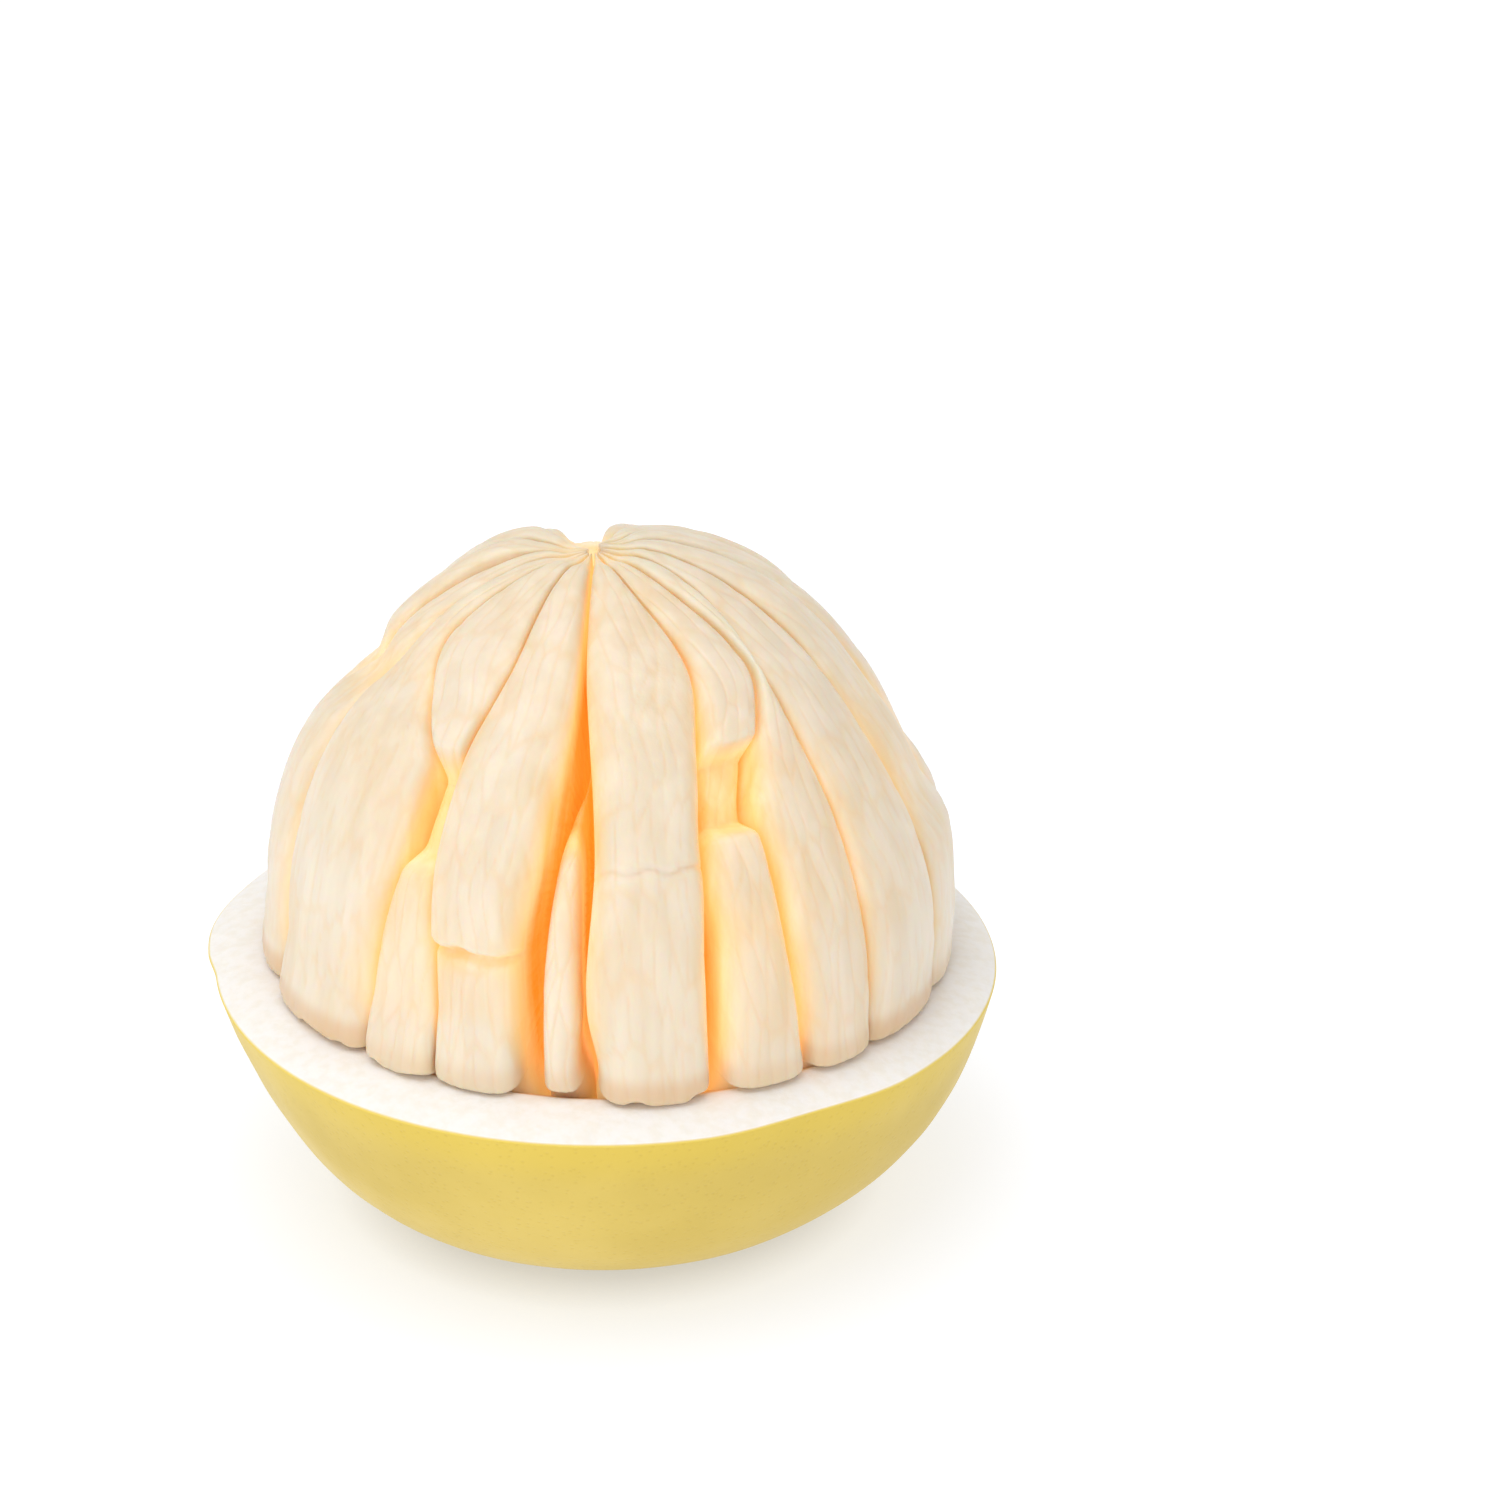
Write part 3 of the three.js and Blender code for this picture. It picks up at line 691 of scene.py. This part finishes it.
def skin_radii(radius, height, azimuth):
    """Radii of the skin's rows, with the rim's shape and the fuller belly on one side."""
    stretch, bulge = rim_shape(azimuth)
    upness = (np.minimum(height, RIM_HEIGHT) / RIM_HEIGHT)[:, None]
    fullness = (1 + np.cos(np.radians(azimuth - BELLY_AZIMUTH)))[None, :] / 2
    round_part = radius[:, None] * (1 + (stretch - 1) * upness)
    belly = BELLY_SWELL * fullness * np.sin(math.pi * upness)
    return round_part + belly + bulge * upness**2


def ring_radii(share, azimuth):
    """Radii of the cut ring's rows, from the skin to close against the flesh."""
    stretch, bulge = rim_shape(azimuth)
    inner_z = leaned(RIM_HEIGHT + RING_RISE, FLESH_RADIUS * np.sin(np.radians(azimuth))[None, :])
    inner = cup_radius(inner_z, BRINK_CLEARANCE)
    outer = RIM_RADIUS * stretch + bulge
    return outer + (inner - outer) * share[:, None]


def cup_radii(height, azimuth):
    """Radii of the cup's rows, with the ledge of pith just under its brink."""
    clearance = np.linspace(BRINK_CLEARANCE, CAVITY_CLEARANCE, len(height))[:, None]
    leaned_height = leaned(height[:, None], FLESH_RADIUS * np.sin(np.radians(azimuth))[None, :])
    return cup_radius(leaned_height, clearance) - ledge(height)[:, None]


def noise_around(turn, count, rows, seed):
    """Noise with count lumps to a turn, which meets itself after one turn."""
    closing = smoothstep(NOISE_CLOSES_FROM, 1.0, turn)
    x = turn * count + 0 * rows
    y = rows + 0 * turn
    return value_noise(x, y, seed) * (1 - closing) + value_noise(x - count, y, seed) * closing


def skin_relief(height, azimuth):
    """How far the skin swells outward at each of its rows and sides."""
    turn = azimuth[None, :] / 360.0
    level = height[:, None]
    swell = 0
    for index, (rise, count, tall) in enumerate(SKIN_SWELLS):
        swell = swell + rise * noise_around(turn, count, level / tall, SEED + index)
    begun = smoothstep(*SKIN_CALM_BELOW, level)
    ending = smoothstep(SKIN_CALM_ABOVE[1], SKIN_CALM_ABOVE[0], level)
    return swell * begun * ending


def ring_relief(share, azimuth):
    """How far the cut pith rises at each row and side of the ring."""
    turn = azimuth[None, :] / 360.0
    inward = share[:, None]
    cut = 0
    for index, (rise, count, lumps) in enumerate(RING_CUTS, len(SKIN_SWELLS)):
        cut = cut + rise * noise_around(turn, count, inward * lumps, SEED + index)
    return cut * np.sin(math.pi * inward) ** 0.5


def rind_points(outer_r, outer_z, ring_share, ring_z, cup_z, azimuth):
    """Rows of points over the flat spot, the skin, the cut ring and the cup, round the core's foot."""
    sine = np.sin(np.radians(azimuth))[None, :]
    cosine = np.cos(np.radians(azimuth))[None, :]
    outward = skin_relief(outer_z, azimuth)
    skin = skin_radii(outer_r, outer_z, azimuth) + outward
    radial = np.concatenate([skin, ring_radii(ring_share, azimuth), cup_radii(cup_z, azimuth)])
    shift = np.concatenate([0 * outer_z, ring_share, 1 + 0 * cup_z])[:, None]
    x = radial * sine + FLESH_CENTRE[0] * shift
    y = -radial * cosine
    z = leaned(np.concatenate([outer_z, ring_z, cup_z])[:, None], x)
    z[len(outer_z) : len(outer_z) + len(ring_z)] += ring_relief(ring_share, azimuth)
    return np.stack([x, y, z], -1).reshape(-1, 3)


def rind_caps(rows):
    """Triangles from the middle of the flat spot to the first row, and from that of the cup to the last."""
    side = np.arange(RIND_SIDES)
    following = (side + 1) % RIND_SIDES
    spot_middle = rows * RIND_SIDES
    last = (rows - 1) * RIND_SIDES
    under = np.stack([0 * side + spot_middle, following, side], -1)
    inside = np.stack([0 * side + spot_middle + 1, last + side, last + following], -1)
    return np.concatenate([under, inside])


def make_rind():
    """The half rind, with its skin in the first material and its pith in the second."""
    skin_r, skin_z = skin_profile()
    ring_share, ring_z = ring_profile()
    cup_z = cavity_heights()
    spot_r = FLAT_SPOT_RADIUS * np.linspace(0, 1, SPOT_ROWS + 2)[1:-1]
    outer_r = np.concatenate([spot_r, skin_r])
    outer_z = np.concatenate([0 * spot_r, skin_z])
    azimuth = np.arange(RIND_SIDES) * 360.0 / RIND_SIDES
    points = rind_points(outer_r, outer_z, ring_share, ring_z, cup_z, azimuth)
    cup_floor = [FLESH_CENTRE[0] * CUP_MIDDLE_SHIFT, 0, FLESH_CENTRE[2] - FLESH_DEPTH - CAVITY_CLEARANCE]
    points = np.concatenate([points, [[0, 0, 0], cup_floor]])

    skin_rows = len(outer_z)
    rows = skin_rows + RING_ROWS + len(cup_z)
    quads = tube_faces(rows, RIND_SIDES)[:, ::-1]
    inward = np.concatenate([0 * outer_z, RING_WIDTH * ring_share, RING_WIDTH + ledge(cup_z)])
    below = np.concatenate([RIM_HEIGHT - outer_z, 0 * ring_z, 0 * cup_z])
    attributes = {
        "inward": np.concatenate([np.repeat(inward, RIND_SIDES), [0, RING_WIDTH]]),
        "below": np.concatenate([np.repeat(below, RIND_SIDES), [RIM_HEIGHT, 0]]),
    }
    obj = make_mesh("rind_skin_and_pith", points, (quads, rind_caps(rows)), attributes)
    obj.data.materials.append(skin_material())
    obj.data.materials.append(pith_material())
    slots = np.zeros(len(obj.data.polygons), np.int32)
    slots[(skin_rows - 1) * RIND_SIDES : len(quads)] = 1
    slots[len(quads) + RIND_SIDES :] = 1
    obj.data.polygons.foreach_set("material_index", slots)
    return obj


# ------------------------------------------------------------------ materials
def linear(colour):
    """A colour given as it looks on screen, from 0 to 255, as linear light."""
    def one(c):
        c /= 255.0
        return c / 12.92 if c <= 0.04045 else ((c + 0.055) / 1.055) ** 2.4

    return (*[one(c) for c in colour], 1.0)


class Nodes:
    """Short hand for building a material's node tree."""

    def __init__(self, name):
        self.material = bpy.data.materials.new(name)
        self.material.use_nodes = True
        self.tree = self.material.node_tree
        self.shader = self.tree.nodes["Principled BSDF"]

    def add(self, kind, **settings):
        node = self.tree.nodes.new(kind)
        for key, value in settings.items():
            setattr(node, key, value)
        return node

    def link(self, source, target):
        self.tree.links.new(source, target)

    def position(self):
        return self.add("ShaderNodeTexCoord").outputs["Object"]

    def attribute(self, name):
        return self.add("ShaderNodeAttribute", attribute_name=name).outputs["Fac"]

    def noise(self, scale, detail, stretch=None):
        """Noise with about scale lumps to a metre."""
        source = self.position()
        if stretch:
            mapping = self.add("ShaderNodeMapping")
            mapping.inputs["Scale"].default_value = stretch
            self.link(source, mapping.inputs["Vector"])
            source = mapping.outputs["Vector"]
        node = self.add("ShaderNodeTexNoise")
        node.inputs["Scale"].default_value = scale
        node.inputs["Detail"].default_value = detail
        node.inputs["Roughness"].default_value = NOISE_ROUGHNESS
        self.link(source, node.inputs["Vector"])
        return node.outputs["Fac"]

    def range(self, source, low, high, to_low, to_high, interpolation="SMOOTHSTEP"):
        """The source's range from low to high, as one from to_low to to_high."""
        node = self.add("ShaderNodeMapRange", interpolation_type=interpolation)
        node.inputs["From Min"].default_value = low
        node.inputs["From Max"].default_value = high
        node.inputs["To Min"].default_value = to_low
        node.inputs["To Max"].default_value = to_high
        self.link(source, node.inputs["Value"])
        return node.outputs["Result"]

    def ramp(self, source, stops):
        """Colours by the source, from stops of (source, colour)."""
        node = self.add("ShaderNodeValToRGB")
        elements = node.color_ramp.elements
        while len(elements) < len(stops):
            elements.new(0.5)
        for element, (place, colour) in zip(elements, stops):
            element.position = place
            element.color = colour
        self.link(source, node.inputs["Fac"])
        return node.outputs["Color"]

    def mix(self, share, first, second):
        """The first colour, with a share of the second."""
        node = self.add("ShaderNodeMix", data_type="RGBA")
        for value, socket in ((share, node.inputs[0]), (first, node.inputs[6]), (second, node.inputs[7])):
            if isinstance(value, bpy.types.NodeSocket):
                self.link(value, socket)
            else:
                socket.default_value = value
        return node.outputs[2]

    def bump(self, source, distance, strength, under=None):
        """Normals for a relief of that many metres, on top of the one under it."""
        node = self.add("ShaderNodeBump")
        node.inputs["Strength"].default_value = strength
        node.inputs["Distance"].default_value = distance
        self.link(source, node.inputs["Height"])
        if under:
            self.link(under, node.inputs["Normal"])
        return node.outputs["Normal"]

    def set(self, **values):
        """Values or links for the shader's sockets, with _ for a space in their names."""
        for key, value in values.items():
            socket = self.shader.inputs[key.replace("_", " ")]
            if isinstance(value, bpy.types.NodeSocket):
                self.link(value, socket)
            else:
                socket.default_value = value


def flesh_material():
    """Moist, translucent flesh: cream on the backs of the sacs, with painted orange shade deep in a gap and
    painted shade in the creases and at the feet. A painted glow, an emission that stands in for light
    scattered through the flesh, comes out of the gaps, so they are never dark."""
    n = Nodes("pomelo_flesh")
    deep = n.attribute("deep")
    # painted shade: darker and orange deep in the gaps, also the colour of the painted glow
    flesh_with_gap_shade = n.ramp(deep, [(depth, linear(colour)) for depth, colour in FLESH_WITH_PAINTED_GAP_SHADE])
    broad = n.noise(38, 2)
    clouded = n.mix(n.range(broad, 0.35, 0.68, 0.0, 0.5), flesh_with_gap_shade, linear(FLESH_CLOUD))
    streak = n.range(n.noise(200, 2, stretch=(1, 1, 0.12)), 0.35, 0.7, 0.0, 0.4)
    streaked = n.mix(streak, clouded, linear(FLESH_STREAK))
    pale_sac = n.range(n.attribute("owner"), 0.0, 1.0, 0.0, 0.2, "LINEAR")
    toned = n.mix(pale_sac, streaked, linear(FLESH_PALE_SAC))
    # painted shade in the creases between sacs
    crease = n.range(n.attribute("crease"), 0.1, 1.0, 0.0, 0.16)
    crease_shaded = n.mix(crease, toned, linear(FLESH_CREASE_SHADE))
    # painted shade at the feet, where they overhang the pith
    foot = n.range(n.attribute("foot"), 0.0, 1.0, 0.0, 0.55)
    foot_shaded = n.mix(foot, crease_shaded, linear(FLESH_FOOT_SHADE))
    # painted glow: emission out of the gaps that stands in for light scattered through the flesh
    glow = n.range(deep, 0.01, 0.4, 0.0, 0.43)
    fine_lines = n.noise(520, 2, stretch=(1, 1, 0.25))
    n.set(Base_Color=foot_shaded, Emission_Color=flesh_with_gap_shade, Emission_Strength=glow)
    n.set(Normal=n.bump(fine_lines, 0.0002, 0.5), Roughness=n.range(broad, 0.3, 0.7, 0.36, 0.5))
    n.set(Subsurface_Weight=0.6, Subsurface_Radius=(1.0, 0.6, 0.3), Subsurface_Scale=0.006)
    n.set(Coat_Weight=0.1, Coat_Roughness=0.25, IOR=1.36)
    n.material.cycles.emission_sampling = "NONE"  # the painted glow is seen and reflected, but isn't a lamp
    return n.material


def skin_material():
    """Waxy yellow skin with fine oil glands, mottled, and deeper yellow just under the cut edge."""
    n = Nodes("pomelo_skin")
    broad = n.noise(22, 3)
    mottled = n.mix(n.range(broad, 0.35, 0.7, 0.0, 1.0), linear(SKIN_LIGHT), linear(SKIN_DARK))
    under_edge = n.range(n.attribute("below"), 0.0, 12.0, 0.55, 0.0)
    edged = n.mix(under_edge, mottled, linear(SKIN_UNDER_EDGE))
    glands = n.add("ShaderNodeTexVoronoi")
    glands.inputs["Scale"].default_value = 760
    n.link(n.position(), glands.inputs["Vector"])
    pore = n.range(glands.outputs["Distance"], 0.0, 0.42, 1.0, 0.0)
    spotted = n.mix(n.range(pore, 0.0, 1.0, 0.0, 0.16), edged, linear(SKIN_GLAND))
    swells = n.bump(n.noise(150, 2), 0.0006, 0.3)
    n.set(Base_Color=spotted, Normal=n.bump(pore, -0.00012, 0.6, swells))
    n.set(Roughness=n.range(broad, 0.3, 0.7, 0.4, 0.52), Coat_Weight=0.08, Coat_Roughness=0.3)
    return n.material


def pith_material():
    """Soft white pith with painted peach shade where it meets the flesh and on the ledge between the feet,
    and a line of yellow where the skin is cut.
    """
    n = Nodes("pomelo_pith")
    inward = n.attribute("inward")
    fibres = n.noise(400, 3)
    white = n.mix(n.range(fibres, 0.35, 0.7, 0.0, 1.0), linear(PITH_LIGHT), linear(PITH_DARK))
    # painted peach shade where the pith meets the flesh and on the ledge between the feet
    shade_by_flesh = n.range(inward, RING_WIDTH - 0.6, RING_WIDTH + 3, 0, 0.8)
    shade_tinged = n.mix(shade_by_flesh, white, linear(PITH_SHADE_BY_FLESH))
    from_skin = n.range(inward, 0.0, 0.45, 0.0, 1.0)
    n.set(Base_Color=n.mix(from_skin, linear(PITH_BY_SKIN), shade_tinged))
    n.set(Normal=n.bump(fibres, 0.0004, 0.6, n.bump(n.noise(120, 2), 0.001, 0.35)))
    n.set(Roughness=0.85, Specular_IOR_Level=0.25)
    n.set(Subsurface_Weight=0.3, Subsurface_Radius=(1.0, 0.9, 0.75), Subsurface_Scale=0.004)
    return n.material


# ------------------------------------------------------------------ stage
def floor_material():
    """Pale and matt, with a light of its own that is weaker where the fruit stands: a painted shadow round
    its foot.
    """
    n = Nodes("pale_floor")
    away = n.add("ShaderNodeVectorMath", operation="LENGTH")
    n.link(n.position(), away.inputs[0])
    # painted shadow: the floor's light is weaker near the fruit
    glow = n.ramp(away.outputs["Value"], [(at, (share, share, share, 1.0)) for at, share in FLOOR_GLOW_AND_PAINTED_SHADOW])
    n.set(Base_Color=FLOOR_COLOUR, Emission_Color=WHITE, Emission_Strength=glow)
    n.set(Roughness=0.9, Specular_IOR_Level=0.1)
    return n.material


def make_floor():
    points = FLOOR_HALF * np.array([[-1, -1, 0], [1, -1, 0], [1, 1, 0], [-1, 1, 0]])
    faces = (np.array([[0, 1, 2, 3]]), np.zeros((0, 3), int))
    floor = make_mesh("floor", points, faces, {})
    floor.data.materials.append(floor_material())


def make_light(name, place, side, power):
    data = bpy.data.lights.new(name, "AREA")
    data.shape = "SQUARE"
    data.size = side
    data.energy = power
    light = bpy.data.objects.new(name, data)
    light.location = place
    aim = Vector(LIGHT_AIM) - Vector(place)
    light.rotation_mode = "QUATERNION"
    light.rotation_quaternion = aim.to_track_quat("-Z", "Y")
    bpy.context.scene.collection.objects.link(light)


def make_studio():
    """An even white surrounding and soft lights, shown without a film look."""
    world = bpy.data.worlds.new("studio")
    world.use_nodes = True
    background = world.node_tree.nodes["Background"]
    background.inputs["Color"].default_value = WHITE
    background.inputs["Strength"].default_value = WORLD_STRENGTH
    scene = bpy.context.scene
    scene.world = world
    for name, place, side, power in LIGHTS:
        make_light(name, place, side, power)
    scene.view_settings.view_transform = "Standard"
    scene.view_settings.look = "None"


def make_camera():
    data = bpy.data.cameras.new("camera")
    data.lens = CAMERA_LENS
    data.sensor_width = SENSOR_WIDTH
    data.clip_start = CLIP_START
    data.clip_end = CLIP_END
    camera = bpy.data.objects.new("camera", data)
    tilt = math.radians(CAMERA_ELEVATION)
    back = np.array([0, -math.cos(tilt), math.sin(tilt)])
    camera.location = Vector((CAMERA_TARGET + CAMERA_DISTANCE * back) * METRES)
    camera.rotation_euler = (math.pi / 2 - tilt, 0, 0)
    bpy.context.scene.collection.objects.link(camera)
    bpy.context.scene.camera = camera


# ------------------------------------------------------------------ the object
def make_object():
    rind = make_rind()
    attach(rind, "root")
    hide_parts("half_rind")
    flesh = flesh_material()
    for index, node in enumerate(SEGMENTS):
        segment = make_segment(node, index)
        segment.data.materials.append(flesh)
        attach(segment, "root")
        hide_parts(node)


add_back_seams()
make_camera()
make_studio()
make_floor()
make_object()
